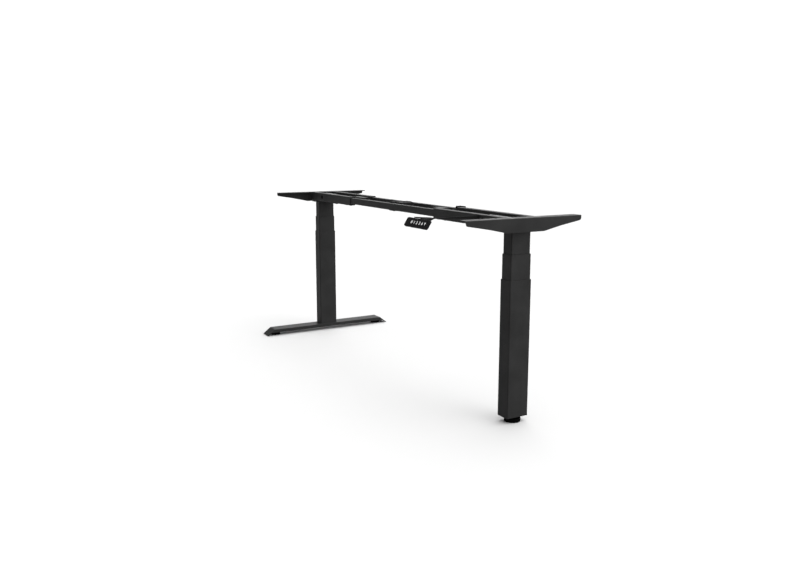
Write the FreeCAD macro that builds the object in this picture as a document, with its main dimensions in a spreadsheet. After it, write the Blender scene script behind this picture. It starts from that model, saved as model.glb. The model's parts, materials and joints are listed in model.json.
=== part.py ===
import FreeCAD, Part
import os
import re
import Sketcher

# Height adjustable standing desk frame: two three-stage lifting legs joined by a telescopic
# crossbeam.  Millimetres.  +X runs along the desk, +Y to its back, +Z up.  The origin is on the
# floor, midway between the legs.  Every leg part is drawn round its own column's axis, with +X
# pointing away from the middle of the desk, and is turned half round for the left leg.

SIZES = {
    # whole frame
    "column_spacing": 1515, "desk_plane": 676, "play": 0.3, "running_play": 0.05,
    # column tubes, largest at the bottom: across the desk (wide, Y), along it (thick, X)
    "lower_wide": 84, "lower_thick": 54, "middle_wide": 79.5, "middle_thick": 49.5,
    "upper_wide": 75, "upper_thick": 45, "column_wall": 1.5, "column_corner": 4,
    "lower_long": 456, "middle_bottom": 118, "middle_top": 558, "upper_bottom": 204,
    "guide_tall": 40,
    # spindle inside each column
    "base_plate_thick": 6, "nut_tube_radius": 14, "nut_tube_bore": 11.75, "nut_tube_top": 400,
    "nut_tall": 30, "hollow_radius": 10, "hollow_bore": 7.5, "drive_radius": 6,
    "drive_bottom": 210, "carrier_radius": 17, "carrier_bore": 14.5, "carrier_plate_thick": 5,
    "carrier_top": 478, "seat_thick": 12, "screw_head_radius": 15, "screw_head_tall": 6,
    "wheel_radius": 18, "wheel_tall": 12, "wheel_bottom": 642, "journal_tall": 8,
    # head of each leg
    "head_bottom": 630, "head_wide": 106, "head_thick": 60, "head_hole": 16,
    "gearbox_wide": 56, "gearbox_thick": 60, "gearbox_top": 668,
    "motor_radius": 23, "motor_height": 649, "motor_start": 30, "motor_edge": 2,
    "motor_long": 118, "motor_cap_radius": 17, "motor_cap_long": 7,
    # crossbeam
    "front_face": 55, "rear_face": 72, "sleeve_wide": 25, "sleeve_bottom": 638,
    "sleeve_top": 675.5, "sleeve_roof": 671.3, "sleeve_wall": 2, "sleeve_corner": 2.5,
    "right_mouth": 338, "left_mouth": 358, "sleeve_hole": 9, "right_hole_inset": 114, "left_hole_inset": 95,
    "sleeve_hole_height": 658, "liner_long": 9,
    "rail_wide": 19, "rail_inset": 3, "rail_bottom": 645, "rail_top": 671, "rail_end": 498,
    "rail_wall": 1.5, "rail_corner": 1.5,
    "right_tie_reach": 48, "left_tie_reach": 66, "tie_hold": 14, "tie_thick": 3, "tie_shelf": 32,
    "clamp_radius": 3, "clamp_head_radius": 5, "clamp_head_tall": 2, "clamp_inset": 16,
    "clamp_pitch": 46,
    # side brackets
    "web_face": 45, "sheet": 3, "bracket_half": 225, "bracket_flat": 72, "bracket_shoulder": 138,
    "bracket_end_tall": 16, "bracket_shoulder_height": 645, "bracket_bottom": 631,
    "bracket_corner": 8, "bend": 2.8, "flange_wide": 40, "flange_corner": 10,
    "bracket_screw_radius": 3, "bracket_screw_sink": 2.8, "bracket_screw_long": 15,
    "bracket_screw_cone": 2.6, "bracket_screw_near": 13, "bracket_screw_far": 33,
    "desk_hole_radius": 3.5, "desk_hole_out": 23, "desk_hole_outer": 195, "desk_hole_inner": 105,
    # left foot and its glides
    "foot_wide": 66, "foot_top": 30.5, "foot_half": 282, "foot_tip": 319, "foot_tip_height": 2.5,
    "foot_wall_bottom": 15, "foot_wall_splay": 13, "foot_tip_thick": 3.9, "foot_fold": 1.2,
    "foot_edge": 2, "boss_radius": 8, "boss_tall": 9, "glide_place": 270, "stud_cover": 4,
    "foot_pad_radius": 22, "foot_pad_tall": 11, "pad_edge": 2, "stud_radius": 4,
    "foot_screw_radius": 3, "foot_screw_head": 5, "foot_screw_head_tall": 4,
    "foot_screw_side": 28, "foot_screw_out": 14,
    # right glide
    "leg_bottom": 19.5, "leg_pad_radius": 27.5, "leg_pad_rim": 12, "leg_pad_neck": 14,
    "leg_pad_shoulder": 15.5, "leg_pad_tall": 17.5,
    # handset
    "panel_tilt": 57.5, "panel_half": 16, "handset_left": 523.5, "handset_long": 142,
    "panel_front": -274.5, "panel_height": 656.2, "case_thick": 7, "case_corner": 6,
    "case_edge": 1.2, "button_wide": 14, "button_tall": 18, "button_proud": 0.8,
    "button_thick": 3, "button_first": 564.5, "button_pitch": 16.3, "button_well": 4,
    "button_corner": 2, "button_edge": 0.4,
    "arm_top": 671, "arm_thick": 3, "hub_left": 548, "hub_right": 622, "hub_back": -222,
    "hub_step": 30, "wedge_low": 652, "wedge_tip": 2,
    "blade_tip_tall": 1.5, "blade_tall": 10, "tab_long": 24, "tab_hole": 2.5,
    # electrics
    "box_front": -24, "box_back": 36, "box_top": 675.5, "box_corner": 3,
    "hanger_left": -36, "hanger_web": 0, "hanger_right": 42, "hanger_top": 675.5,
    "hanger_thick": 2, "inlet_left": 287, "inlet_long": 35, "inlet_front": 75,
    "inlet_deep": 22, "inlet_bottom": 648, "inlet_edge": 2, "inlet_socket": 18,
    "inlet_socket_deep": 16, "inlet_plate_right": 366,
}

SIDES = ("left", "right")
BUTTONS = ("memory", "one", "two", "three", "up", "down")

doc = FreeCAD.newDocument("standing_desk")
sheet = doc.addObject("Spreadsheet::Sheet", "Sizes")
for row, (alias, number) in enumerate(SIZES.items(), start=1):
    sheet.set(f"A{row}", alias)
    sheet.set(f"B{row}", str(number))
    sheet.setAlias(f"B{row}", alias)
doc.recompute()
sub_parts = []


def bound(text):
    """The expression with every size name read from the sheet."""
    return re.sub(r"[a-z_]+", lambda m: "Sizes." + m[0] if m[0] in SIZES else m[0], str(text))


def amount(text):
    """The present value of an expression in size names."""
    result = sheet.evalExpression(bound(text))
    return float(getattr(result, "Value", result))


def bind(thing, prop, text):
    thing.setExpression(prop, bound(text))


def finish(thing, label):
    thing.Label = label
    sub_parts.append(thing)
    return thing


def place(thing, side, along="column_spacing / 2"):
    """Put a leg part on its column: the left one is turned half round."""
    bind(thing, "Placement.Base.x", along if side == "right" else f"-({along})")
    thing.Placement.Rotation = FreeCAD.Rotation(FreeCAD.Vector(0, 0, 1), 0 if side == "right" else 180)


# ---------------------------------------------------------------- sketches

def new_body(name):
    return doc.addObject("PartDesign::Body", "Body_" + name)


def sketch_on(body, plane, offset="0"):
    """An empty sketch on one of the body's origin planes, lifted by offset."""
    sketch = body.newObject("Sketcher::SketchObject", body.Name + "_sketch")
    support = next(f for f in body.Origin.OriginFeatures if f.Role == plane)
    sketch.AttachmentSupport = [(support, "")]
    sketch.MapMode = "FlatFace"
    bind(sketch, "AttachmentOffset.Base.z", offset)
    return sketch


def fix_point(sketch, geometry, point, x, y):
    for kind, text in (("DistanceX", x), ("DistanceY", y)):
        constraint = Sketcher.Constraint(kind, -1, 1, geometry, point, amount(text))
        bind(sketch, f"Constraints[{sketch.addConstraint(constraint)}]", text)


def outline(sketch, points):
    """A closed polygon whose corners are expressions in size names."""
    first = sketch.GeometryCount
    corners = [FreeCAD.Vector(amount(x), amount(y), 0) for x, y in points]
    count = len(corners)
    for i in range(count):
        sketch.addGeometry(Part.LineSegment(corners[i], corners[(i + 1) % count]), False)
    for i in range(count):
        sketch.addConstraint(Sketcher.Constraint("Coincident", first + i, 2, first + (i + 1) % count, 1))
    for i, (x, y) in enumerate(points):
        fix_point(sketch, first + i, 1, x, y)


def rectangle(sketch, x_low, x_high, y_low, y_high):
    outline(sketch, [(x_low, y_low), (x_high, y_low), (x_high, y_high), (x_low, y_high)])


def centred(sketch, wide, deep, x="0", y="0"):
    rectangle(sketch, f"({x}) - ({wide}) / 2", f"({x}) + ({wide}) / 2",
              f"({y}) - ({deep}) / 2", f"({y}) + ({deep}) / 2")


def circle(sketch, radius, x="0", y="0"):
    index = sketch.addGeometry(Part.Circle(FreeCAD.Vector(amount(x), amount(y), 0),
                                           FreeCAD.Vector(0, 0, 1), amount(radius)), False)
    fix_point(sketch, index, 3, x, y)
    bind(sketch, f"Constraints[{sketch.addConstraint(Sketcher.Constraint('Radius', index, amount(radius)))}]",
         radius)


# ---------------------------------------------------------------- features

def pad(body, sketch, length, both_ways=False, backwards=False):
    feature = body.newObject("PartDesign::Pad", body.Name + "_pad")
    feature.Profile = sketch
    feature.Midplane = both_ways
    feature.Reversed = backwards
    bind(feature, "Length", length)
    doc.recompute()
    return feature


def pocket(body, sketch, length, backwards=False, both_ways=False):
    """A cut, checked to have taken something away."""
    before = body.Shape.Volume
    feature = body.newObject("PartDesign::Pocket", body.Name + "_pocket")
    feature.Profile = sketch
    feature.Reversed = backwards
    feature.Midplane = both_ways
    bind(feature, "Length", length)
    doc.recompute()
    if body.Shape.Volume >= before - 1:
        raise RuntimeError(f"{body.Name}: a pocket cut nothing")
    return feature


def revolve(body, points):
    """Turn an outline of (radius, height) points round the body's Z axis."""
    sketch = sketch_on(body, "XZ_Plane")
    outline(sketch, points)
    feature = body.newObject("PartDesign::Revolution", body.Name + "_turned")
    feature.Profile = sketch
    feature.ReferenceAxis = (sketch, ["V_Axis"])
    feature.Angle = 360
    doc.recompute()
    return feature


def round_edges(body, radius, chosen, kind="PartDesign::Fillet", size="Radius"):
    """Round (or chamfer) the tip's edges that the chosen test accepts."""
    tip = body.Tip
    names = [f"Edge{i}" for i, edge in enumerate(tip.Shape.Edges, start=1) if chosen(edge)]
    if not names:
        raise RuntimeError(f"{body.Name}: no edge to round")
    feature = body.newObject(kind, body.Name + "_rounded")
    feature.Base = (tip, names)
    bind(feature, size, radius)
    doc.recompute()
    return feature


def straight_along(axis):
    """A test for straight edges that run along one axis."""
    def test(edge):
        if not isinstance(edge.Curve, Part.Line):
            return False
        return abs(getattr(edge.Curve.Direction, axis)) > 0.999
    return test


def corner_edges(axis, across, reach):
    """A test for straight edges along axis, further out (or nearer) than reach on another axis."""
    along = straight_along(axis)
    limit = amount(reach)

    def outer(edge):
        return along(edge) and abs(getattr(edge.CenterOfMass, across)) > limit

    def inner(edge):
        return along(edge) and abs(getattr(edge.CenterOfMass, across)) < limit
    return outer, inner


# ---------------------------------------------------------------- legs

def column_tube(name, side, wide, thick, low, high):
    body = new_body(name)
    section = sketch_on(body, "XY_Plane", low)
    centred(section, thick, wide)
    centred(section, f"{thick} - 2 * column_wall", f"{wide} - 2 * column_wall")
    pad(body, section, f"({high}) - ({low})")
    outer, inner = corner_edges("z", "y", f"({wide} - column_wall) / 2")
    round_edges(body, "column_corner", outer)
    round_edges(body, "column_corner - column_wall", inner)
    place(body, side)
    return finish(body, name)


def guide_ring(name, side, outer_wide, outer_thick, inner_wide, inner_thick, top):
    """A thin plastic liner at the mouth of one tube, in which the next tube slides."""
    body = new_body(name)
    section = sketch_on(body, "XY_Plane", f"{top} - guide_tall")
    centred(section, f"{outer_thick} - 2 * column_wall", f"{outer_wide} - 2 * column_wall")
    centred(section, f"{inner_thick} + play", f"{inner_wide} + play")
    pad(body, section, "guide_tall")
    outer, inner = corner_edges("z", "y", f"({inner_wide} + play + running_play) / 2")
    round_edges(body, "column_corner - column_wall", outer)
    round_edges(body, "column_corner - column_wall", inner)
    place(body, side)
    return finish(body, name)


def base_plate(side, low):
    body = new_body(side + "_base_plate")
    plate = sketch_on(body, "XY_Plane", low)
    centred(plate, "lower_thick - 2 * column_wall", "lower_wide - 2 * column_wall")
    if side == "left":
        for x, y in foot_screw_places():
            circle(plate, "foot_screw_radius", x, y)
    else:
        circle(plate, "stud_radius + running_play")
    pad(body, plate, "base_plate_thick")
    outer, _ = corner_edges("z", "y", "lower_wide / 2 - 2 * column_wall")
    round_edges(body, "column_corner - column_wall", outer)
    place(body, side)
    return finish(body, side + "_base_plate")


def nut_tube(side, low):
    """The fixed nut, on the tube that holds it up from the base plate."""
    body = new_body(side + "_nut_tube")
    bottom = f"({low}) + base_plate_thick"
    nut_bore = "hollow_radius + running_play"
    revolve(body, [("nut_tube_bore", bottom), ("nut_tube_radius", bottom),
                   ("nut_tube_radius", "nut_tube_top"), (nut_bore, "nut_tube_top"),
                   (nut_bore, "nut_tube_top - nut_tall"), ("nut_tube_bore", "nut_tube_top - nut_tall")])
    place(body, side)
    return finish(body, side + "_nut_tube")


def screw_carrier(side):
    """Plate and tube that hang the hollow screw from the middle tube."""
    body = new_body(side + "_screw_carrier")
    plate = sketch_on(body, "XY_Plane", "middle_bottom")
    centred(plate, "middle_thick - 2 * column_wall", "middle_wide - 2 * column_wall")
    circle(plate, "carrier_bore")
    pad(body, plate, "carrier_plate_thick")
    outer, _ = corner_edges("z", "y", "middle_wide / 2 - 2 * column_wall")
    round_edges(body, "column_corner - column_wall", outer)
    wall = sketch_on(body, "XY_Plane", "middle_bottom + carrier_plate_thick")
    circle(wall, "carrier_radius")
    circle(wall, "carrier_bore")
    pad(body, wall, "carrier_top - middle_bottom - carrier_plate_thick")
    seat = sketch_on(body, "XY_Plane", "carrier_top")
    circle(seat, "carrier_radius")
    circle(seat, "hollow_radius + running_play")
    pad(body, seat, "seat_thick")
    place(body, side)
    return finish(body, side + "_screw_carrier")


def hollow_screw(side):
    body = new_body(side + "_hollow_screw")
    head_low = "carrier_top + seat_thick"
    head_high = f"{head_low} + screw_head_tall"
    revolve(body, [("hollow_bore", "middle_bottom"), ("hollow_radius", "middle_bottom"),
                   ("hollow_radius", head_low), ("screw_head_radius", head_low),
                   ("screw_head_radius", head_high), ("hollow_bore", head_high)])
    place(body, side)
    return finish(body, side + "_hollow_screw")


def upper_nut(side):
    """Brass nut in the top of the hollow screw's bore."""
    body = new_body(side + "_upper_nut")
    top = "carrier_top + seat_thick + screw_head_tall"
    ring = sketch_on(body, "XY_Plane", f"{top} - nut_tall")
    circle(ring, "hollow_bore")
    circle(ring, "drive_radius + running_play")
    pad(body, ring, "nut_tall")
    place(body, side)
    return finish(body, side + "_upper_nut")


def drive_screw(side):
    """Solid screw with its worm wheel, hung in the gearbox."""
    body = new_body(side + "_drive_screw")
    wheel_top = "wheel_bottom + wheel_tall"
    revolve(body, [("0", "drive_bottom"), ("drive_radius", "drive_bottom"),
                   ("drive_radius", "wheel_bottom"), ("wheel_radius", "wheel_bottom"),
                   ("wheel_radius", wheel_top), ("drive_radius", wheel_top),
                   ("drive_radius", f"{wheel_top} + journal_tall"),
                   ("0", f"{wheel_top} + journal_tall")])
    place(body, side)
    return finish(body, side + "_drive_screw")


# ---------------------------------------------------------------- heads

def head_plate(side):
    """Thick plate on top of the upper tube, to which the sleeves are welded."""
    body = new_body(side + "_head_plate")
    block = sketch_on(body, "XY_Plane", "head_bottom")
    centred(block, "head_thick", "head_wide")
    circle(block, "head_hole")
    pad(body, block, "sleeve_bottom - head_bottom")
    round_edges(body, "column_corner", straight_along("z"))
    place(body, side)
    return finish(body, side + "_head_plate")


def gearbox(side):
    body = new_body(side + "_gearbox")
    case = sketch_on(body, "XY_Plane", "sleeve_bottom")
    centred(case, "gearbox_thick", "gearbox_wide")
    pad(body, case, "gearbox_top - sleeve_bottom")
    round_edges(body, "column_corner", straight_along("z"))
    room = sketch_on(body, "XY_Plane", "wheel_bottom - play")
    circle(room, "wheel_radius + play")
    pocket(body, room, "wheel_tall + 2 * play", backwards=True)
    bore = sketch_on(body, "XY_Plane", "wheel_bottom + wheel_tall + journal_tall + play")
    circle(bore, "drive_radius + running_play")
    pocket(body, bore, "gearbox_top")
    place(body, side)
    return finish(body, side + "_gearbox")


def motor(side):
    """Motor lying along the beam, between the sleeves, inboard of its gearbox."""
    body = new_body(side + "_motor")
    can = sketch_on(body, "YZ_Plane", "-motor_start")
    circle(can, "motor_radius", "0", "motor_height")
    pad(body, can, "motor_long", backwards=True)
    beyond = -amount("motor_start + motor_long / 2")
    round_edges(body, "motor_edge", lambda edge: isinstance(edge.Curve, Part.Circle)
                and edge.CenterOfMass.x < beyond)
    cap = sketch_on(body, "YZ_Plane", "-motor_start - motor_long")
    circle(cap, "motor_cap_radius", "0", "motor_height")
    pad(body, cap, "motor_cap_long", backwards=True)
    place(body, side)
    return finish(body, side + "_motor")


def beam_tube(name, faces, heights, ends, wall, corner, roof):
    """A rectangular tube along X: faces in Y, heights in Z and ends in X, low then high."""
    body = new_body(name)
    section = sketch_on(body, "YZ_Plane", ends[0])
    rectangle(section, *faces, *heights)
    rectangle(section, f"({faces[0]}) + {wall}", f"({faces[1]}) - {wall}",
              f"({heights[0]}) + {wall}", roof)
    pad(body, section, f"({ends[1]}) - ({ends[0]})")
    middle = (amount(faces[0]) + amount(faces[1])) / 2
    reach = (amount(faces[1]) - amount(faces[0]) - amount(wall)) / 2
    along = straight_along("x")
    round_edges(body, corner, lambda edge: along(edge) and abs(edge.CenterOfMass.y - middle) > reach)
    return body


def row_face(row):
    """The outer face of a row of sleeves, on the Y axis."""
    return "-front_face" if row == "front" else "rear_face"


def span(side, row, inset, wide):
    """Low and high Y, in a leg's own frame, of something inset from a row's outer face."""
    inward = 1 if row == "front" else -1
    outer = f"({row_face(row)} + {inward} * ({inset}))"
    inner = f"({row_face(row)} + {inward} * ({inset} + {wide}))"
    if inward * side_sign(side) > 0:
        return f"{side_sign(side)} * {outer}", f"{side_sign(side)} * {inner}"
    return f"{side_sign(side)} * {inner}", f"{side_sign(side)} * {outer}"


def side_sign(side):
    return 1 if side == "right" else -1


def middle_of(faces):
    return f"(({faces[0]}) + ({faces[1]})) / 2"


def mouth_x(side):
    """The sleeve's mouth, from its column."""
    return f"({side}_mouth - column_spacing / 2)"


def clamp_x(side, step):
    """Where a clamp screw stands, from its column: step 0 is nearest the sleeve's mouth."""
    return f"{mouth_x(side)} + clamp_inset + {step} * clamp_pitch"


def sleeve(side, row):
    """Fixed outer tube of the crossbeam.  Its thick roof reaches the desk's plane, and is cut
    down where the side bracket's flange lies on it."""
    name = f"{side}_{row}_sleeve"
    faces = span(side, row, "0", "sleeve_wide")
    body = beam_tube(name, faces, ("sleeve_bottom", "sleeve_top"),
                     (mouth_x(side), "web_face - sheet"),
                     "sleeve_wall", "sleeve_corner", "sleeve_roof")
    seat = sketch_on(body, "XY_Plane", "sleeve_top")
    rectangle(seat, "web_face - flange_wide - play", "web_face", *faces)
    pocket(body, seat, "sleeve_top - desk_plane + sheet")
    access = sketch_on(body, "XZ_Plane", f"-({side_sign(side)} * ({row_face(row)}))")
    circle(access, "sleeve_hole", f"-{side}_hole_inset", "sleeve_hole_height")
    pocket(body, access, "2 * sleeve_wall", both_ways=True)
    threads = sketch_on(body, "XY_Plane", "desk_plane - sheet")
    for out in ("bracket_screw_near", "bracket_screw_far"):
        circle(threads, "bracket_screw_radius", out, middle_of(faces))
    pocket(body, threads, "desk_plane - sheet - sleeve_roof")
    clamps = sketch_on(body, "XY_Plane", "sleeve_bottom")
    for step in (0, 1):
        circle(clamps, "clamp_radius", clamp_x(side, step), middle_of(faces))
    pocket(body, clamps, "sleeve_wall", backwards=True)
    place(body, side)
    return finish(body, name)


def sleeve_liners(side):
    """Plastic bushes in the mouths of a leg's two sleeves, round the rails."""
    pieces = []
    for row in ("front", "rear"):
        body = new_body(f"{side}_{row}_liner")
        low, high = span(side, row, "sleeve_wall", "sleeve_wide - 2 * sleeve_wall")
        rail_low, rail_high = span(side, row, "rail_inset", "rail_wide")
        section = sketch_on(body, "YZ_Plane", mouth_x(side))
        rectangle(section, low, high, "sleeve_bottom + sleeve_wall", "sleeve_roof")
        rectangle(section, f"{rail_low} - running_play", f"{rail_high} + running_play",
                  "rail_bottom - running_play", "rail_top + running_play")
        pad(body, section, "liner_long")
        pieces.append(body)
    node = group(side + "_sleeve_liners", pieces)
    place(node, side)
    return node


def tie_plate(side):
    """Folded plate welded between a leg's two sleeves and reaching out of their mouths: a shelf
    beside the front sleeve, level with the top, a web and a floor under the rear one."""
    body = new_body(side + "_tie_plate")
    sign = side_sign(side)
    low = "sleeve_bottom"
    shelf, back = "(sleeve_wide + tie_shelf - front_face)", "(rear_face - sleeve_wide)"
    section = [("sleeve_wide - front_face", "sleeve_top"), (shelf, "sleeve_top"),
               (shelf, f"{low} + tie_thick"), (back, f"{low} + tie_thick"), (back, low),
               (f"{shelf} - tie_thick", low), (f"{shelf} - tie_thick", "sleeve_top - tie_thick"),
               ("sleeve_wide - front_face", "sleeve_top - tie_thick")]
    reach = side + "_tie_reach"
    plate = sketch_on(body, "YZ_Plane", f"{mouth_x(side)} - {reach}")
    outline(plate, [(f"{sign} * ({y})", z) for y, z in section])
    pad(body, plate, f"{reach} + tie_hold")
    place(body, side)
    return finish(body, side + "_tie_plate")


def side_bracket(side):
    """Folded sheet: a deep web outside the sleeves and a flange under the desk top."""
    body = new_body(side + "_side_bracket")
    web = sketch_on(body, "YZ_Plane", "web_face - sheet")
    end_low = "desk_plane - bracket_end_tall"
    outline(web, [("-bracket_half", "desk_plane"), ("-bracket_half", end_low),
                  ("-bracket_shoulder", "bracket_shoulder_height"),
                  ("-bracket_flat", "bracket_bottom"), ("bracket_flat", "bracket_bottom"),
                  ("bracket_shoulder", "bracket_shoulder_height"),
                  ("bracket_half", end_low), ("bracket_half", "desk_plane")])
    pad(body, web, "sheet")
    low = amount("desk_plane - sheet / 2")
    round_edges(body, "bracket_corner",
                lambda edge: straight_along("x")(edge) and edge.CenterOfMass.z < low)
    flange = sketch_on(body, "XY_Plane", "desk_plane - sheet")
    rectangle(flange, "web_face - flange_wide", "web_face", "-bracket_half", "bracket_half")
    pad(body, flange, "sheet")
    bend_out = amount("web_face - sheet / 2")
    round_edges(body, "bend", lambda edge: straight_along("y")(edge)
                and edge.CenterOfMass.x > bend_out and edge.CenterOfMass.z > low)
    inward = amount("web_face - flange_wide / 2")
    round_edges(body, "flange_corner", lambda edge: straight_along("z")(edge)
                and edge.CenterOfMass.x < inward)
    holes = sketch_on(body, "XY_Plane", "desk_plane")
    for hole_y in ("desk_hole_outer", "desk_hole_inner"):
        circle(holes, "desk_hole_radius", "desk_hole_out", hole_y)
        circle(holes, "desk_hole_radius", "desk_hole_out", "-" + hole_y)
    for out in ("bracket_screw_near", "bracket_screw_far"):
        for row in ("front", "rear"):
            circle(holes, "bracket_screw_radius", out, middle_of(span(side, row, "0", "sleeve_wide")))
    pocket(body, holes, "sheet")
    rim = amount("(bracket_screw_radius + desk_hole_radius) / 2")
    round_edges(body, "bracket_screw_sink", lambda edge: isinstance(edge.Curve, Part.Circle)
                and edge.CenterOfMass.z > low and edge.Curve.Radius < rim
                and abs(edge.Curve.Axis.z) > 0.999, "PartDesign::Chamfer", "Size")
    place(body, side)
    return finish(body, side + "_side_bracket")


# ---------------------------------------------------------------- fasteners

def primitive(kind, name, **sizes):
    thing = doc.addObject("Part::" + kind, name)
    for prop, text in sizes.items():
        bind(thing, prop, text)
    return thing


def stand(thing, x, y, z):
    for axis, text in (("x", x), ("y", y), ("z", z)):
        bind(thing, f"Placement.Base.{axis}", text)
    return thing


def group(name, shapes):
    """One node holding several separate or fused solids."""
    fused = doc.addObject("Part::MultiFuse", "Group_" + name)
    fused.Shapes = shapes
    return finish(fused, name)


def bracket_screws(side):
    """Countersunk screws through the flange into the sleeves' ends."""
    pieces = []
    for out in ("bracket_screw_near", "bracket_screw_far"):
        for row in ("front", "rear"):
            y = middle_of(span(side, row, "0", "sleeve_wide"))
            shank = primitive("Cylinder", "shank", Radius="bracket_screw_radius",
                              Height="bracket_screw_long")
            stand(shank, out, y, "desk_plane - bracket_screw_long")
            head = primitive("Cone", "head", Radius1="bracket_screw_radius",
                             Radius2="bracket_screw_radius + bracket_screw_cone",
                             Height="bracket_screw_cone")
            stand(head, out, y, "desk_plane - bracket_screw_sink")
            pieces += [shank, head]
    node = group(side + "_bracket_screws", pieces)
    place(node, side)
    return node


def hex_screw(radius, length, head_radius, head_tall, x, y, seat):
    """Shank and hexagonal head of a screw driven upwards, its head hanging below seat."""
    shank = primitive("Cylinder", "shank", Radius=radius, Height=f"{length} + {head_tall}")
    head = primitive("Prism", "head", Circumradius=head_radius, Height=head_tall)
    head.Polygon = 6
    for thing in (shank, head):
        stand(thing, x, y, f"{seat} - {head_tall}")
    return [shank, head]


def clamp_screws(side):
    """Hex screws under the sleeves that press the rails up against the sleeves' roofs."""
    pieces = []
    for step in (0, 1):
        for row in ("front", "rear"):
            y = middle_of(span(side, row, "0", "sleeve_wide"))
            pieces += hex_screw("clamp_radius", "rail_bottom - sleeve_bottom", "clamp_head_radius",
                                "clamp_head_tall", clamp_x(side, step), y, "sleeve_bottom")
    node = group(side + "_clamp_screws", pieces)
    place(node, side)
    return node


# ---------------------------------------------------------------- middle of the crossbeam

def rail(row):
    """Rail clamped in the left leg's sleeve, on which the right leg's sleeve slides."""
    body = beam_tube(row + "_rail", span("right", row, "rail_inset", "rail_wide"),
                     ("rail_bottom", "rail_top"), ("-rail_end", "rail_end"),
                     "rail_wall", "rail_corner", "rail_top - rail_wall")
    return finish(body, row + "_rail")


# ---------------------------------------------------------------- foot and glides

def left_foot():
    """Folded channel foot: top plate with sloping ends, two side walls and two stud bosses."""
    body = new_body("left_foot")
    plate = sketch_on(body, "YZ_Plane")
    outline(plate, [("-foot_tip", "foot_tip_height"), ("-foot_half", "foot_top"),
                    ("foot_half", "foot_top"), ("foot_tip", "foot_tip_height"),
                    ("foot_tip - foot_tip_thick", "foot_tip_height"),
                    ("foot_half - foot_fold", "foot_top - sheet"),
                    ("foot_fold - foot_half", "foot_top - sheet"),
                    ("foot_tip_thick - foot_tip", "foot_tip_height")])
    pad(body, plate, "foot_wide", both_ways=True)
    wall_end = "(foot_half + foot_wall_splay)"
    for start in ("foot_wide / 2 - sheet", "-foot_wide / 2"):
        wall = sketch_on(body, "YZ_Plane", start)
        outline(wall, [("-foot_half", "foot_top - sheet / 2"), (f"-{wall_end}", "foot_wall_bottom"),
                       (wall_end, "foot_wall_bottom"), ("foot_half", "foot_top - sheet / 2")])
        pad(body, wall, "sheet")
    ends = ("-glide_place", "glide_place")
    bosses = sketch_on(body, "XY_Plane", "foot_top - sheet - boss_tall")
    for y in ends:
        circle(bosses, "boss_radius", "0", y)
    pad(body, bosses, "boss_tall + sheet / 2")
    holes = sketch_on(body, "XY_Plane", "foot_top - sheet / 2")
    for y in ends:
        circle(holes, "stud_radius + running_play", "0", y)
    pocket(body, holes, "foot_top")
    screws = sketch_on(body, "XY_Plane", "foot_top")
    for x, y in foot_screw_places():
        circle(screws, "foot_screw_radius", x, y)
    pocket(body, screws, "sheet")
    top = amount("foot_top - sheet / 2")
    edge_x = amount("foot_wide / 2 - sheet / 2")
    round_edges(body, "foot_edge", lambda edge: straight_along("y")(edge)
                and edge.CenterOfMass.z > top and abs(edge.CenterOfMass.x) > edge_x)
    place(body, "left")
    return finish(body, "left_foot")


def foot_screw_places():
    return [(x, y) for x in ("-foot_screw_out", "foot_screw_out")
            for y in ("-foot_screw_side", "foot_screw_side")]


def foot_screws():
    pieces = []
    for x, y in foot_screw_places():
        pieces += hex_screw("foot_screw_radius", "sheet + base_plate_thick", "foot_screw_head",
                            "foot_screw_head_tall", x, y, "(foot_top - sheet)")
    node = group("foot_screws", pieces)
    place(node, "left")
    return node


def foot_glide(name, y):
    """Round levelling pad on a stud that screws into the foot."""
    body = new_body(name)
    revolve(body, [("0", "0"), ("foot_pad_radius - pad_edge", "0"), ("foot_pad_radius", "pad_edge"),
                   ("foot_pad_radius", "foot_pad_tall - pad_edge"),
                   ("foot_pad_radius - pad_edge", "foot_pad_tall"),
                   ("stud_radius", "foot_pad_tall"),
                   ("stud_radius", "foot_top - stud_cover"), ("0", "foot_top - stud_cover")])
    bind(body, "Placement.Base.x", "-column_spacing / 2")
    bind(body, "Placement.Base.y", y)
    return finish(body, name)


def leg_glide():
    """Tall levelling pad on a stud that screws into the right leg's base plate."""
    body = new_body("leg_glide")
    revolve(body, [("0", "0"), ("leg_pad_radius - pad_edge", "0"), ("leg_pad_radius", "pad_edge"),
                   ("leg_pad_radius", "leg_pad_rim"), ("leg_pad_neck", "leg_pad_shoulder"),
                   ("leg_pad_neck", "leg_pad_tall"), ("stud_radius", "leg_pad_tall"),
                   ("stud_radius", "leg_bottom + base_plate_thick"),
                   ("0", "leg_bottom + base_plate_thick")])
    place(body, "right")
    return finish(body, "leg_glide")


# ---------------------------------------------------------------- handset

def face_the_user(thing, x):
    """Stand a handset piece in the panel's frame: its +Z looks forwards and up."""
    bind(thing, "Placement.Base.x", x)
    bind(thing, "Placement.Base.y", "panel_front")
    bind(thing, "Placement.Base.z", "panel_height")
    tilt = FreeCAD.Rotation(FreeCAD.Vector(1, 0, 0), amount("panel_tilt"))
    thing.Placement.Rotation = tilt


def handset_case():
    body = new_body("handset_case")
    slab = sketch_on(body, "XY_Plane", "-case_thick")
    rectangle(slab, "0", "handset_long", "-panel_half", "panel_half")
    pad(body, slab, "case_thick")
    round_edges(body, "case_corner", straight_along("z"))
    low = -amount("case_thick / 2")
    round_edges(body, "case_edge", lambda edge: edge.CenterOfMass.z > low
                and not straight_along("z")(edge))
    wells = sketch_on(body, "XY_Plane")
    for index in range(len(BUTTONS)):
        centred(wells, "button_wide + 2 * play", "button_tall + 2 * play",
                f"button_first - handset_left + {index} * button_pitch")
    pocket(body, wells, "button_well")
    face_the_user(body, "handset_left")
    return finish(body, "handset_case")


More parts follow.
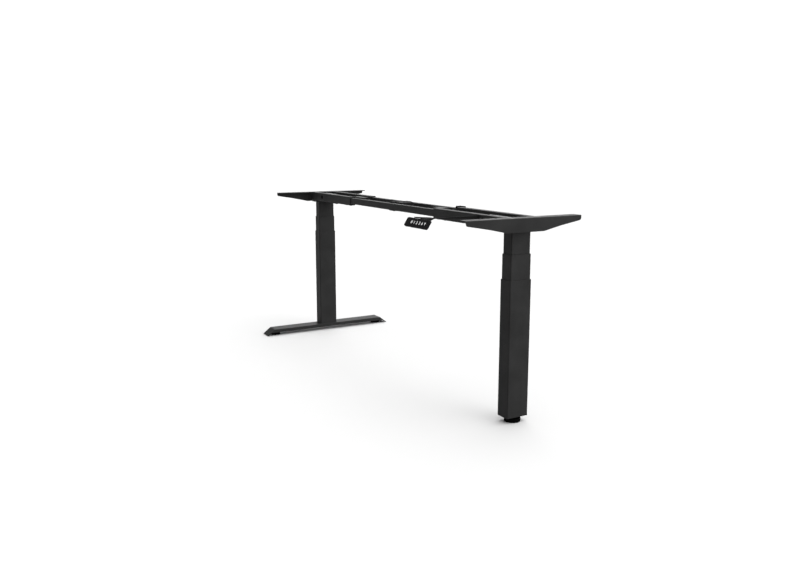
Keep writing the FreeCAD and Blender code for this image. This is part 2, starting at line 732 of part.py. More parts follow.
def button(index, word):
    """One key: it stands a little proud of the panel, over a gap that leaves room to press it."""
    body = new_body("button_" + word)
    key = sketch_on(body, "XY_Plane", "button_proud - button_thick")
    centred(key, "button_wide", "button_tall")
    pad(body, key, "button_thick")
    round_edges(body, "button_corner", straight_along("z"))
    round_edges(body, "button_edge", lambda edge: edge.CenterOfMass.z > 0)
    face_the_user(body, f"button_first + {index} * button_pitch")
    return finish(body, "button_" + word)


def behind_case(height):
    """Y of a point just behind the handset's back, at some height."""
    return ("(panel_front + play + case_thick * sin(panel_tilt)"
            f" + ({height} - panel_height + case_thick * cos(panel_tilt)) / tan(panel_tilt))")


def handset_arm():
    """Hub behind the handset, and a thin blade from it back to the right front sleeve."""
    body = new_body("handset_arm")
    hub = sketch_on(body, "XY_Plane", "arm_top - arm_thick")
    front = behind_case("arm_top")
    outline(hub, [("hub_left", front), ("hub_right", front), ("hub_right", "hub_back"),
                  ("hub_right - hub_step", "hub_back")])
    pad(body, hub, "arm_thick")
    wedge = sketch_on(body, "YZ_Plane", "hub_right - hub_step")
    outline(wedge, [(behind_case("wedge_low"), "wedge_low"), ("hub_back", "arm_top - wedge_tip"),
                    ("hub_back", "arm_top"), (front, "arm_top")])
    pad(body, wedge, "hub_step")
    blade = sketch_on(body, "YZ_Plane", "hub_right - arm_thick")
    outline(blade, [("hub_back - arm_thick", "arm_top"),
                    ("hub_back - arm_thick", "arm_top - blade_tip_tall"),
                    ("-front_face", "arm_top - blade_tall"), ("-front_face", "arm_top")])
    pad(body, blade, "arm_thick")
    tab = sketch_on(body, "XZ_Plane", "front_face")
    rectangle(tab, "hub_right - tab_long", "hub_right", "arm_top - blade_tall", "arm_top")
    circle(tab, "tab_hole", "hub_right - (tab_long + arm_thick) / 2", "arm_top - blade_tall / 2")
    pad(body, tab, "arm_thick")
    return finish(body, "handset_arm")


# ---------------------------------------------------------------- electrics

def control_box():
    body = new_body("control_box")
    block = sketch_on(body, "XY_Plane", "rail_bottom + play")
    rectangle(block, "hanger_web + play", "hanger_right", "box_front", "box_back")
    pad(body, block, "box_top - rail_bottom - play")
    low = amount("rail_bottom + box_corner / 2")
    round_edges(body, "box_corner", lambda edge: edge.CenterOfMass.z > low)
    return finish(body, "control_box")


def box_hanger():
    """Folded plate between the rails, with a web down from it and a tray for the control box
    that reaches under both rails."""
    body = new_body("box_hanger")
    front, back = "rail_inset - front_face", "rear_face - rail_inset"
    top = sketch_on(body, "XY_Plane", "hanger_top - hanger_thick")
    rectangle(top, "hanger_left", "hanger_web", f"{front} + rail_wide + play",
              f"{back} - rail_wide - play")
    pad(body, top, "hanger_thick")
    web = sketch_on(body, "XY_Plane", "rail_bottom - hanger_thick")
    rectangle(web, "hanger_web - hanger_thick", "hanger_web", "box_front", "box_back")
    pad(body, web, "hanger_top - rail_bottom + hanger_thick")
    tray = sketch_on(body, "XY_Plane", "rail_bottom - hanger_thick")
    rectangle(tray, "hanger_web - hanger_thick", "hanger_right", front, back)
    pad(body, tray, "hanger_thick")
    return finish(body, "box_hanger")


def power_inlet():
    """Mains inlet block behind the right rear sleeve, with an empty socket, on its mounting
    plate."""
    body = new_body("power_inlet")
    block = sketch_on(body, "XY_Plane", "inlet_bottom")
    rectangle(block, "inlet_left", "inlet_left + inlet_long", "inlet_front",
              "inlet_front + inlet_deep")
    pad(body, block, "desk_plane - inlet_bottom")
    near = amount("inlet_front + inlet_edge / 2")
    round_edges(body, "inlet_edge", lambda edge: edge.CenterOfMass.y > near)
    plate = sketch_on(body, "XZ_Plane", "-inlet_front")
    rectangle(plate, "inlet_left", "inlet_plate_right", "inlet_bottom", "rail_top")
    pad(body, plate, "inlet_front - rear_face")
    socket = sketch_on(body, "YZ_Plane", "inlet_left")
    centred(socket, "inlet_socket", "inlet_socket", "inlet_front + inlet_deep / 2",
            "(inlet_bottom + desk_plane) / 2")
    pocket(body, socket, "inlet_socket_deep", backwards=True)
    return finish(body, "power_inlet")


# ---------------------------------------------------------------- the frame

for side, lower_bottom in (("left", "foot_top"), ("right", "leg_bottom")):
    lower_top = f"({lower_bottom} + lower_long)"
    column_tube(side + "_lower_tube", side, "lower_wide", "lower_thick", lower_bottom, lower_top)
    column_tube(side + "_middle_tube", side, "middle_wide", "middle_thick", "middle_bottom", "middle_top")
    column_tube(side + "_upper_tube", side, "upper_wide", "upper_thick", "upper_bottom", "head_bottom")
    guide_ring(side + "_lower_guide", side, "lower_wide", "lower_thick",
               "middle_wide", "middle_thick", lower_top)
    guide_ring(side + "_middle_guide", side, "middle_wide", "middle_thick",
               "upper_wide", "upper_thick", "middle_top")
    base_plate(side, lower_bottom)
    nut_tube(side, lower_bottom)
    screw_carrier(side)
    hollow_screw(side)
    upper_nut(side)
    drive_screw(side)
    head_plate(side)
    gearbox(side)
    motor(side)
    sleeve(side, "front")
    sleeve(side, "rear")
    sleeve_liners(side)
    tie_plate(side)
    side_bracket(side)
    bracket_screws(side)
    clamp_screws(side)

rail("front")
rail("rear")
left_foot()
foot_screws()
foot_glide("foot_glide_front", "-glide_place")
foot_glide("foot_glide_rear", "glide_place")
leg_glide()
handset_case()
handset_arm()
for index, word in enumerate(BUTTONS):
    button(index, word)
control_box()
box_hanger()
power_inlet()

doc.recompute()
for thing in doc.Objects:
    if "Invalid" in thing.State or "Error" in thing.State:
        raise RuntimeError(f"{thing.Label} failed: {thing.State}")
for piece in sub_parts:
    if piece.Shape.isNull() or not piece.Shape.isValid() or not piece.Shape.Solids:
        raise RuntimeError(f"{piece.Label} has no valid solid")

os.makedirs("parts", exist_ok=True)
for piece in sub_parts:
    piece.Shape.exportStep(f"parts/{piece.Label}.step")
print(len(sub_parts), "sub-parts")
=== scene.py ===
import json
import math

import bmesh
import bpy
from mathutils import Matrix, Vector


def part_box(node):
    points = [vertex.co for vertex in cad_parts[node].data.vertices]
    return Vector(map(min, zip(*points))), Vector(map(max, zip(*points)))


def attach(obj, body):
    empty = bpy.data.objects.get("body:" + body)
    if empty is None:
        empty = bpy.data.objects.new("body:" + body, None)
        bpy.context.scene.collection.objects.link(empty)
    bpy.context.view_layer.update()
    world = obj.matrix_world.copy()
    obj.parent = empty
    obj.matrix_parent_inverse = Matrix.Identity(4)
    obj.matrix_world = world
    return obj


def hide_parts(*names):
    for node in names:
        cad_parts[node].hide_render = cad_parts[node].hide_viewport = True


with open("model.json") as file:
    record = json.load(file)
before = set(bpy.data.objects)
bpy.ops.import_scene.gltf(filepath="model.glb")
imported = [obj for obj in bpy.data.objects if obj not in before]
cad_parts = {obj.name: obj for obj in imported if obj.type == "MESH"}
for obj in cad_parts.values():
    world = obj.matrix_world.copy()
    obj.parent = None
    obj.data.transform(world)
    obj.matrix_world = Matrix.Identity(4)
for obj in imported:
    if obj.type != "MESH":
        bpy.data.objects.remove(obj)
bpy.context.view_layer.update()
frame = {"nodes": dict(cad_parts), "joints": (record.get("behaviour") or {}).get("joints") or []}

MM = 0.001
NODES = frame["nodes"]
SIDES = {"left": -1, "right": 1}    # which way along X each side lies
ROWS = {"front": -1, "rear": 1}     # which way along Y each row of sleeves lies
RING = 24                           # points round a turned piece, unless it says otherwise
WHOLE_TURN = 2 * math.pi
SAME_VERTEX = 0.001 * MM            # closer together than this, two vertices are one
scene = bpy.context.scene


# ---------------------------------------------------------------- materials

# sockets of a Mix node that mixes colours
MIX_SHARE, MIX_FIRST, MIX_SECOND, MIX_RESULT = 0, 6, 7, 2

PATCHES = 14                        # blotches of colour, per metre
WEAR_AND_SHEEN_REACH = 1.2 * MM                # how far from an edge the finish looks worn and carries a painted edge sheen
WEAR_AND_SHEEN_PATCHES = 90                    # where the edges are lighter and where not, per metre
WEAR_AND_SHEEN_SHARE = 0.35                    # how much of the lighter edge colour, worn coat and painted edge sheen, shows at most


class Tree:
    """A material's node tree, with short ways to add and join nodes."""

    def __init__(self, name):
        self.material = bpy.data.materials.new(name)
        self.material.use_nodes = True
        self.nodes = self.material.node_tree.nodes
        self.links = self.material.node_tree.links
        self.shader = self.nodes["Principled BSDF"]
        self.place = self.add("ShaderNodeTexCoord").outputs["Object"]

    def add(self, kind, inputs=(), **settings):
        node = self.nodes.new(kind)
        for key, value in settings.items():
            setattr(node, key, value)
        for key, value in dict(inputs).items():
            if isinstance(value, bpy.types.NodeSocket):
                self.links.new(value, node.inputs[key])
            else:
                node.inputs[key].default_value = value
        return node

    def noise(self, scale, detail, stretch=(1, 1, 1)):
        where = self.add("ShaderNodeMapping", {"Vector": self.place, "Scale": stretch})
        return self.add("ShaderNodeTexNoise", {"Vector": where.outputs["Vector"], "Scale": scale,
                                               "Detail": detail}).outputs["Fac"]

    def spread(self, value, low, high, start=0.3, end=0.7):
        """Map the value's usual range onto low to high."""
        node = self.add("ShaderNodeMapRange", {"Value": value, "From Min": start, "From Max": end,
                                               "To Min": low, "To Max": high})
        return node.outputs["Result"]

    def mix(self, share, first, second):
        node = self.add("ShaderNodeMix", data_type="RGBA")
        for index, value in ((MIX_SHARE, share), (MIX_FIRST, first), (MIX_SECOND, second)):
            if isinstance(value, bpy.types.NodeSocket):
                self.links.new(value, node.inputs[index])
            else:
                node.inputs[index].default_value = value
        return node.outputs[MIX_RESULT]

    def edge(self, radius):
        """1 where the surface turns a corner within the radius, 0 on the flat."""
        bevel = self.add("ShaderNodeBevel", {"Radius": radius}, samples=4).outputs["Normal"]
        plain = self.add("ShaderNodeNewGeometry").outputs["Normal"]
        same = self.add("ShaderNodeVectorMath", {0: bevel, 1: plain}, operation="DOT_PRODUCT")
        return self.spread(same.outputs["Value"], 1.0, 0.0, 0.8, 0.995)


def grey(level, warm=0.0):
    return (level * (1 + warm), level, level * (1 - warm), 1)


def make_material(name, dark, light, rough, grain, metallic=0.0, shine=0.5, wear_and_sheen=None,
                  stretch=(1, 1, 1), pits=None):
    """A finish with patchy colour and gloss, a fine grain and lighter edges: partly a worn coat and
    partly a painted edge sheen.
    rough is (low, high); grain and pits are (scale per metre, height in metres)."""
    tree = Tree(name)
    blotches = tree.noise(PATCHES, 4.0, stretch)
    fine = tree.noise(grain[0], 3.0, stretch)
    colour = tree.mix(tree.spread(blotches, 0.0, 1.0), dark, light)
    speckle = tree.spread(fine, 0.0, 0.5, 0.45, 0.8)
    colour = tree.mix(speckle, colour, light)
    roughness = tree.spread(tree.noise(grain[0] / 9, 3.0, stretch), *rough)
    # lighter edges: partly a worn coat, partly a painted edge sheen that stands in for light caught by
    # the corners
    if wear_and_sheen:
        uneven = tree.spread(tree.noise(WEAR_AND_SHEEN_PATCHES, 3.0), 0.0, WEAR_AND_SHEEN_SHARE, 0.35, 0.65)
        worn_and_sheen = tree.add("ShaderNodeMath", {0: tree.edge(WEAR_AND_SHEEN_REACH), 1: uneven},
                          operation="MULTIPLY").outputs["Value"]
        colour = tree.mix(worn_and_sheen, colour, wear_and_sheen)
    bump = tree.add("ShaderNodeBump", {"Height": fine, "Strength": 0.6, "Distance": grain[1]})
    if pits:
        cells = tree.add("ShaderNodeTexVoronoi", {"Vector": tree.place, "Scale": pits[0]})
        bump = tree.add("ShaderNodeBump", {"Height": cells.outputs["Distance"], "Strength": 0.5,
                                           "Distance": pits[1], "Normal": bump.outputs["Normal"]})
    for socket, value in (("Base Color", colour), ("Roughness", roughness),
                          ("Normal", bump.outputs["Normal"])):
        tree.links.new(value, tree.shader.inputs[socket])
    tree.shader.inputs["Metallic"].default_value = metallic
    tree.shader.inputs["Specular IOR Level"].default_value = shine
    return tree.material


# the last colour of each finish is its lighter edge colour: partly worn coat, partly a painted edge
# sheen
FINISHES = {
    "powder_coat": make_material("powder_coat", grey(0.0105), grey(0.0165), (0.5, 0.62),
                                 (1500, 0.00007), shine=0.09, wear_and_sheen=grey(0.03), pits=(2600, 0.00003)),
    "black_screws": make_material("black_screws", grey(0.008), grey(0.016, 0.05), (0.28, 0.42),
                                  (900, 0.00003), metallic=0.6, wear_and_sheen=grey(0.16)),
    "bright_steel": make_material("bright_steel", grey(0.36), grey(0.52), (0.2, 0.34),
                                  (700, 0.00002), metallic=1.0, wear_and_sheen=grey(0.62), stretch=(1, 1, 9)),
    "brass_nut": make_material("brass_nut", (0.42, 0.26, 0.09, 1), (0.62, 0.42, 0.16, 1),
                               (0.25, 0.4), (600, 0.00003), metallic=1.0,
                               wear_and_sheen=(0.72, 0.55, 0.28, 1)),
    "gearbox_alloy": make_material("gearbox_alloy", grey(0.03), grey(0.05), (0.4, 0.58),
                                   (800, 0.00012), metallic=0.9, wear_and_sheen=grey(0.2), pits=(900, 0.00006)),
    "motor_enamel": make_material("motor_enamel", grey(0.006), grey(0.01), (0.3, 0.42),
                                  (1100, 0.00003), shine=0.12, wear_and_sheen=grey(0.03)),
    "guide_nylon": make_material("guide_nylon", grey(0.006), grey(0.01), (0.38, 0.5),
                                 (1700, 0.00003), shine=0.1, wear_and_sheen=grey(0.02)),
    "liner_plastic": make_material("liner_plastic", grey(0.007), grey(0.011), (0.4, 0.52),
                                   (1900, 0.00003), shine=0.1, wear_and_sheen=grey(0.02)),
    "glide_rubber": make_material("glide_rubber", grey(0.001), grey(0.0022), (0.6, 0.75),
                                  (1300, 0.00006), shine=0.01, wear_and_sheen=grey(0.004), pits=(1900, 0.00004)),
    "handset_plastic": make_material("handset_plastic", grey(0.005), grey(0.009), (0.5, 0.62),
                                     (2400, 0.00004), shine=0.04, wear_and_sheen=grey(0.016),
                                     pits=(3200, 0.00002)),
    "key_plastic": make_material("key_plastic", grey(0.004), grey(0.007), (0.3, 0.4),
                                 (2100, 0.00002), shine=0.06, wear_and_sheen=grey(0.014)),
    "box_plastic": make_material("box_plastic", grey(0.006), grey(0.011), (0.55, 0.68),
                                 (2000, 0.00005), shine=0.035, wear_and_sheen=grey(0.02), pits=(2800, 0.00003)),
    "inlet_plastic": make_material("inlet_plastic", grey(0.0015), grey(0.003), (0.6, 0.75),
                                   (2000, 0.00005), shine=0.0, wear_and_sheen=grey(0.005),
                                   pits=(2800, 0.00003)),
    "matt_sheet": make_material("matt_sheet", grey(0.006), grey(0.0105), (0.6, 0.75),
                                (1500, 0.00006), shine=0.01, wear_and_sheen=grey(0.018), pits=(2600, 0.00003)),
    "glyph": make_material("glyph_white", grey(0.62), grey(0.74), (0.38, 0.5), (1800, 0.00002)),
}

# the finish of each node with the word in its name; the first word that fits counts
NODE_FINISH = {
    "guide": "guide_nylon", "liners": "liner_plastic",
    "hollow_screw": "bright_steel", "drive_screw": "bright_steel",
    "upper_nut": "brass_nut", "nut_tube": "bright_steel", "screw_carrier": "bright_steel",
    "gearbox": "gearbox_alloy", "motor": "motor_enamel", "screws": "black_screws",
    "glide": "glide_rubber", "handset_arm": "matt_sheet", "handset": "handset_plastic",
    "button": "key_plastic", "control_box": "box_plastic", "box_hanger": "matt_sheet",
    "power_inlet": "inlet_plastic",
}


def finish_of(node):
    return next((slot for word, slot in NODE_FINISH.items() if word in node), "powder_coat")


for name, node in NODES.items():
    node.data.materials.clear()
    node.data.materials.append(FINISHES[finish_of(name)])


# ---------------------------------------------------------------- pieces in mesh code

def skin(bm, rings, loop=False):
    """Quads between rings of the same count; the ends are closed unless the rings form a loop."""
    rows = [[bm.verts.new(point) for point in ring] for ring in rings]
    pairs = list(zip(rows, rows[1:])) + ([(rows[-1], rows[0])] if loop else [])
    for low, high in pairs:
        for i in range(len(low)):
            j = (i + 1) % len(low)
            bm.faces.new((low[i], low[j], high[j], high[i]))
    if not loop:
        bm.faces.new(rows[0][::-1])
        bm.faces.new(rows[-1])


def ring(radius, height, count, at):
    """Points round the frame's Z axis. radius is a number or a function of the angle."""
    points = []
    for i in range(count):
        angle = WHOLE_TURN * i / count
        reach = radius(angle) if callable(radius) else radius
        points.append(at @ Vector((reach * math.cos(angle), reach * math.sin(angle), height)))
    return points


def hexagon(apothem):
    """The radius of a hexagon as a function of the angle."""
    sixth = WHOLE_TURN / 6

    def reach(angle):
        return apothem / math.cos((angle % sixth) - sixth / 2)
    return reach


def in_mm(*profile):
    """Rings (radius, height) given in mm; a radius that is a function is in metres already."""
    return [(radius if callable(radius) else radius * MM, height * MM) for radius, height in profile]


def turned(bm, profile, at, count=RING):
    """A closed solid of rings (radius, height) from one end to the other."""
    skin(bm, [ring(radius, height, count, at) for radius, height in profile])


def prism(bm, outline, low, high, at, ease=0.0):
    """An upright solid on a flat outline, its top edge eased inward."""
    centre = sum((Vector(p) for p in outline), Vector((0, 0))) / len(outline)

    def level(height, shrink):
        points = []
        for p in outline:
            offset = Vector(p) - centre
            offset -= offset.normalized() * shrink
            points.append(at @ Vector((centre.x + offset.x, centre.y + offset.y, height)))
        return points
    rings = [level(low, 0), level(high - ease, 0)]
    if ease:
        rings.append(level(high, ease))
    skin(bm, rings)


def box_shape(bm, low, high, ease):
    """A block between two corners with eased edges."""
    start = Matrix.Translation((Vector(low) + Vector(high)) / 2)
    size = Vector(high) - Vector(low)
    made = bmesh.ops.create_cube(bm, size=1, matrix=start @ Matrix.Diagonal((*size, 1)))
    edges = list({edge for vert in made["verts"] for edge in vert.link_edges})
    bmesh.ops.bevel(bm, geom=edges, offset=ease, segments=2, profile=0.5, affect="EDGES")


SHARP_EDGE = math.radians(35)


def add_piece(name, bm, body, slot, *replaced):
    """Give the mesh its finish, its body and its slot, and stand it for the replaced nodes."""
    bmesh.ops.recalc_face_normals(bm, faces=bm.faces)
    mesh = bpy.data.meshes.new(name)
    bm.to_mesh(mesh)
    bm.free()
    mesh.shade_smooth()
    mesh.set_sharp_from_angle(angle=SHARP_EDGE)
    mesh.materials.append(FINISHES[slot])
    piece = bpy.data.objects.new(name, mesh)
    scene.collection.objects.link(piece)
    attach(piece, body)
    if replaced:
        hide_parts(*replaced)
    return piece


def centre_of(node):
    low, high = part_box(node)
    return (low + high) / 2


def face(node, axis, way):
    """Where a node ends along an axis, on its lower side when way is below 0."""
    return getattr(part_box(node)[0 if way < 0 else 1], axis)


# ---------------------------------------------------------------- welds

RIPPLE_DEPTH, RIPPLE_STEP = 0.13, 1.9     # a bead's ripples, by its radius and by the point
TAPER_START, TAPER_STEP = 0.35, 0.3       # how a bead swells from its ends
BEAD_SIDES = 8


def bead(bm, path, radius, loop=False):
    """A weld bead along a path: a rippled tube, with rounded ends unless it's a loop."""
    count = len(path)
    rings = []
    for i, point in enumerate(path):
        ahead = path[(i + 1) % count] if loop or i + 1 < count else point
        behind = path[i - 1] if loop or i else point
        tangent = (ahead - behind).normalized()
        turn = tangent.to_track_quat("Z", "Y").to_matrix().to_4x4()
        taper = 1.0
        if not loop:
            taper = min(1.0, TAPER_START + min(i, count - 1 - i) * TAPER_STEP)
        swell = radius * taper * (1 + RIPPLE_DEPTH * math.sin(i * RIPPLE_STEP))
        rings.append(ring(swell, 0, BEAD_SIDES, Matrix.Translation(point) @ turn))
    skin(bm, rings, loop)


def straight(start, end, step=1.3 * MM):
    start, end = Vector(start), Vector(end)
    count = max(3, round((end - start).length / step))
    return [start.lerp(end, i / count) for i in range(count + 1)]


def rounded(low, high, corner, height, corner_points=7):
    """Points round an upright tube, all of them on its rounded corners."""
    right, left = high.x - corner, low.x + corner
    back, front = high.y - corner, low.y + corner
    points = []
    for x, y, start in ((right, back, 0), (left, back, 90), (left, front, 180), (right, front, 270)):
        for i in range(corner_points):
            angle = math.radians(start + 90 * i / (corner_points - 1))
            points.append(Vector((x + corner * math.cos(angle), y + corner * math.sin(angle), height)))
    return points


def round_tube(low, high, height, step=1.4 * MM):
    """A path round a column's tube, with points on its flats as well."""
    outline = rounded(low, high, COLUMN_CORNER, height)
    path = []
    for point, following in zip(outline, outline[1:] + outline[:1]):
        if (following - point).length > 2 * step:
            path += straight(point, following, step)[:-1]
        else:
            path.append(point)
    return path


COLUMN_CORNER = 4 * MM
SHEET = 3 * MM
# radius of the beads round the head plate, round the foot, up a sleeve's sides, along the head
# plate's edges and along a tie plate
HEAD_BEAD, FOOT_BEAD, SLEEVE_BEAD, PLATE_BEAD, TIE_BEAD = (
    2.2 * MM, 2 * MM, 1.7 * MM, 1.8 * MM, 1.4 * MM)

for side, sign in SIDES.items():
    body = side + "_head"
    head_low, head_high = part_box(side + "_head_plate")
    bm = bmesh.new()
    bead(bm, round_tube(*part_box(side + "_upper_tube"), head_low.z - 0.4 * MM), HEAD_BEAD,
         loop=True)
    add_piece(side + "_head_weld", bm, body, "powder_coat")

    bm = bmesh.new()
    web = face(side + "_side_bracket", "x", sign) - sign * SHEET
    for row, way in ROWS.items():
        sleeve = f"{side}_{row}_sleeve"
        low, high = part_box(sleeve)
        for y in (face(sleeve, "y", way), face(sleeve, "y", -way)):
            bead(bm, straight((web, y, low.z + 3 * MM), (web, y, high.z - 4 * MM)), SLEEVE_BEAD)
        y = face(sleeve, "y", way) - way * 2.5 * MM
        bead(bm, straight((head_low.x + 4 * MM, y, head_high.z),
                          (head_high.x - 4 * MM, y, head_high.z)), PLATE_BEAD)
    add_piece(side + "_sleeve_welds", bm, body, "powder_coat")

    # along the plate's front edge inside the front sleeve's wall, and its rear edge under the rear one
    tie = side + "_tie_plate"
    tie_low, tie_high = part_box(tie)
    ends = sorted((face(tie, "x", sign) - sign * 2 * MM,
                   face(side + "_front_sleeve", "x", -sign) + sign * 1 * MM))
    bm = bmesh.new()
    for y, z in ((tie_low.y, tie_high.z - 4.6 * MM), (tie_high.y, tie_low.z + 4.4 * MM)):
        bead(bm, straight((ends[0], y, z), (ends[1], y, z)), TIE_BEAD)
    add_piece(side + "_tie_welds", bm, body, "powder_coat")

tube_low, tube_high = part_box("left_lower_tube")
bm = bmesh.new()
bead(bm, round_tube(tube_low, tube_high, tube_low.z + 0.3 * MM), FOOT_BEAD,
     loop=True)
add_piece("foot_weld", bm, "left_base", "powder_coat")


# ---------------------------------------------------------------- plugs in the access holes

HOLE_INSET = {"left": 95 * MM, "right": 114 * MM}     # from the column's middle
HOLE_HEIGHT = 658 * MM

for side, sign in SIDES.items():
    x = centre_of(side + "_upper_tube").x - sign * HOLE_INSET[side]
    bm = bmesh.new()
    for row, way in ROWS.items():
        outer = face(f"{side}_{row}_sleeve", "y", way)
        at = Matrix.Translation((x, outer, HOLE_HEIGHT)) @ Matrix.Rotation(-way * math.pi / 2, 4, "X")
        turned(bm, in_mm((8.9, -1.9), (8.9, -0.9), (8.4, -0.5), (6.5, -0.5), (6, -1.2)), at)
    add_piece(side + "_hole_plugs", bm, side + "_head", "inlet_plastic")


# ---------------------------------------------------------------- tube mouths

def lip(side, outer, inner, body):
    """The rounded plastic edge of a guide, lying on the rim of its tube round the next tube."""
    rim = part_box(f"{side}_{outer}_tube")[1]
    low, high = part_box(f"{side}_{inner}_tube")
    near, far = 0.3 * MM, rim.y - high.y - 0.5 * MM
    shoulder, top = 0.7 * MM, 1.2 * MM
    loops = []
    for out, up in ((near, 0), (near, shoulder), (near + 0.4 * MM, top),
                    (far - 0.5 * MM, top), (far, shoulder), (far, 0)):
        grow = Vector((out, out, 0))
        loops.append(rounded(low - grow, high + grow, COLUMN_CORNER + out, rim.z + up))
    bm = bmesh.new()
    skin(bm, loops, loop=True)
    add_piece(f"{side}_{outer}_lip", bm, f"{side}_{body}", "guide_nylon")


for side in SIDES:
    lip(side, "lower", "middle", "base")
    lip(side, "middle", "upper", "middle")


# ---------------------------------------------------------------- screws

def upright(x, y, z):
    """An upright frame at a point."""
    return Matrix.Translation((x, y, z))


def countersunk(bm, at, head, shank, long):
    """A flat-headed screw with a hexagon socket, its top at the frame's origin."""
    socket = head * 0.42
    slope = head - shank
    turned(bm, [(shank * 0.8, -long), (shank, -long + shank * 0.3), (shank, -slope), (head, -0.3 * MM),
                (head, 0), (socket * 1.3, 0), (hexagon(socket), -0.25 * MM),
                (hexagon(socket), -1.9 * MM)], at)


def hex_bolt(bm, at, head, tall, shank, long):
    """A flanged hexagon head below the origin, its shank rising from it."""
    apothem = head * math.cos(math.pi / 6)
    turned(bm, [(apothem * 0.55, -tall * 0.85), (apothem * 0.62, -tall), (apothem * 0.94, -tall),
                (hexagon(apothem), -tall * 0.8), (hexagon(apothem), -tall * 0.3),
                (head * 1.12, -tall * 0.22), (head * 1.12, 0), (shank, 0), (shank, long)], at)


def solids_of(node):
    """The lowest and highest corners of each separate solid in a node of screws."""
    bm = bmesh.new()
    bm.from_mesh(NODES[node].data)
    bmesh.ops.remove_doubles(bm, verts=bm.verts, dist=SAME_VERTEX)
    seen, found = set(), []
    for vert in bm.verts:
        if vert in seen:
            continue
        group, todo = [], [vert]
        seen.add(vert)
        while todo:
            here = todo.pop()
            group.append(here.co.copy())
            for edge in here.link_edges:
                other = edge.other_vert(here)
                if other not in seen:
                    seen.add(other)
                    todo.append(other)
        found.append((Vector(map(min, *group)), Vector(map(max, *group))))
    bm.free()
    return found


SINK_HEAD, SINK_SHANK = 5.6 * MM, 3 * MM
BOLT_HEAD, BOLT_SHANK = 5 * MM, 3 * MM
CLAMP_HEAD_TALL, FOOT_HEAD_TALL = 2 * MM, 4 * MM


def bolts(name, body, node, head_tall):
    """Hexagon bolts in the place of a node's screws, their heads below."""
    bm = bmesh.new()
    for low, high in solids_of(node):
        centre = (low + high) / 2
        seat = low.z + head_tall
        hex_bolt(bm, upright(centre.x, centre.y, seat), BOLT_HEAD, head_tall, BOLT_SHANK, high.z - seat)
    add_piece(name, bm, body, "black_screws", node)


for side in SIDES:
    bm = bmesh.new()
    for low, high in solids_of(side + "_bracket_screws"):
        centre = (low + high) / 2
        countersunk(bm, upright(centre.x, centre.y, high.z), SINK_HEAD, SINK_SHANK, high.z - low.z)
    add_piece(side + "_countersunk_screws", bm, side + "_head", "black_screws",
              side + "_bracket_screws")
    bolts(side + "_clamp_bolts", side + "_head", side + "_clamp_screws", CLAMP_HEAD_TALL)
bolts("foot_bolts", "left_base", "foot_screws", FOOT_HEAD_TALL)


# ---------------------------------------------------------------- threads

TURN_LEVELS = 8                     # rings in each pitch of a thread
FLANK, ROOT_SHARE = 2.2, 0.6        # how steep a thread's flanks are, and how wide its crest


def thread(bm, at, low, high, crest, root, pitch, count, starts=1, bore=None, head=()):
    """A screw with its real helix between two heights, hollow when it has a bore, with a head on
    top. pitch is the helix's rise a turn for each start."""
    step = pitch / TURN_LEVELS

    def reach(height):
        def at_angle(angle):
            phase = (height / pitch - angle * starts / WHOLE_TURN) % 1
            wave = min(1.0, max(0.0, FLANK * abs(phase - 0.5) * 2 - ROOT_SHARE))
            fade = min(1.0, (height - low) / pitch, (high - height) / pitch)
            return crest - (crest - root) * wave * max(0.0, fade)
        return at_angle
    levels = [low + i * step for i in range(int((high - low) / step))] + [high]
    rings = [ring(reach(z), z, count, at) for z in levels]
    rings += [ring(radius, z, count, at) for radius, z in head]
    if bore is None:
        skin(bm, rings)
    else:
        top = head[-1][1] if head else high
        rings += [ring(bore, top, count, at), ring(bore, low, count, at)]
        skin(bm, rings, loop=True)


SPINDLE_PITCH = 8 * MM
DRIVE_CREST, DRIVE_ROOT = 6 * MM, 5 * MM
HOLLOW_CREST, HOLLOW_ROOT, HOLLOW_BORE = 10 * MM, 8.9 * MM, 7.5 * MM
HOLLOW_HEAD, HOLLOW_HEAD_TALL = 15 * MM, 6 * MM
WHEEL_RADIUS, WHEEL_FACE, WHEEL_TALL = 18 * MM, 17 * MM, 12 * MM
WHEEL_TOOTH, WHEEL_TEETH = 1.1 * MM, 30
PLAIN = 8 * MM                      # the length without thread beside a wheel or head


def wheel_rim(angle):
    return WHEEL_RADIUS - WHEEL_TOOTH * (0.5 + 0.5 * math.cos(angle * WHEEL_TEETH))


for side in SIDES:
    low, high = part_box(side + "_drive_screw")
    axis = upright((low.x + high.x) / 2, (low.y + high.y) / 2, 0)
    wheel_high = high.z - PLAIN
    wheel_low = wheel_high - WHEEL_TALL
    bm = bmesh.new()
    thread(bm, axis, low.z, wheel_low - PLAIN, DRIVE_CREST, DRIVE_ROOT, SPINDLE_PITCH, count=60,
           head=[(DRIVE_CREST, wheel_low), (WHEEL_FACE, wheel_low), (wheel_rim, wheel_low + 0.8 * MM),
                 (wheel_rim, wheel_high - 0.8 * MM), (WHEEL_FACE, wheel_high),
                 (DRIVE_CREST, wheel_high), (DRIVE_CREST, high.z - 0.6 * MM),
                 (DRIVE_CREST - 0.6 * MM, high.z)])
    add_piece(side + "_drive_spindle", bm, side + "_drive_screw", "bright_steel",
              side + "_drive_screw")

    low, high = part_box(side + "_hollow_screw")
    seat = high.z - HOLLOW_HEAD_TALL
    bm = bmesh.new()
    thread(bm, axis, low.z, seat - PLAIN, HOLLOW_CREST, HOLLOW_ROOT, SPINDLE_PITCH, starts=2,
           bore=HOLLOW_BORE, count=32,
           head=[(HOLLOW_CREST, seat), (HOLLOW_HEAD - 0.4 * MM, seat), (HOLLOW_HEAD, seat + 0.5 * MM),
                 (HOLLOW_HEAD, high.z - 0.5 * MM), (HOLLOW_HEAD - 0.5 * MM, high.z)])
    add_piece(side + "_hollow_spindle", bm, side + "_hollow_screw", "bright_steel",
              side + "_hollow_screw")


# ---------------------------------------------------------------- glides

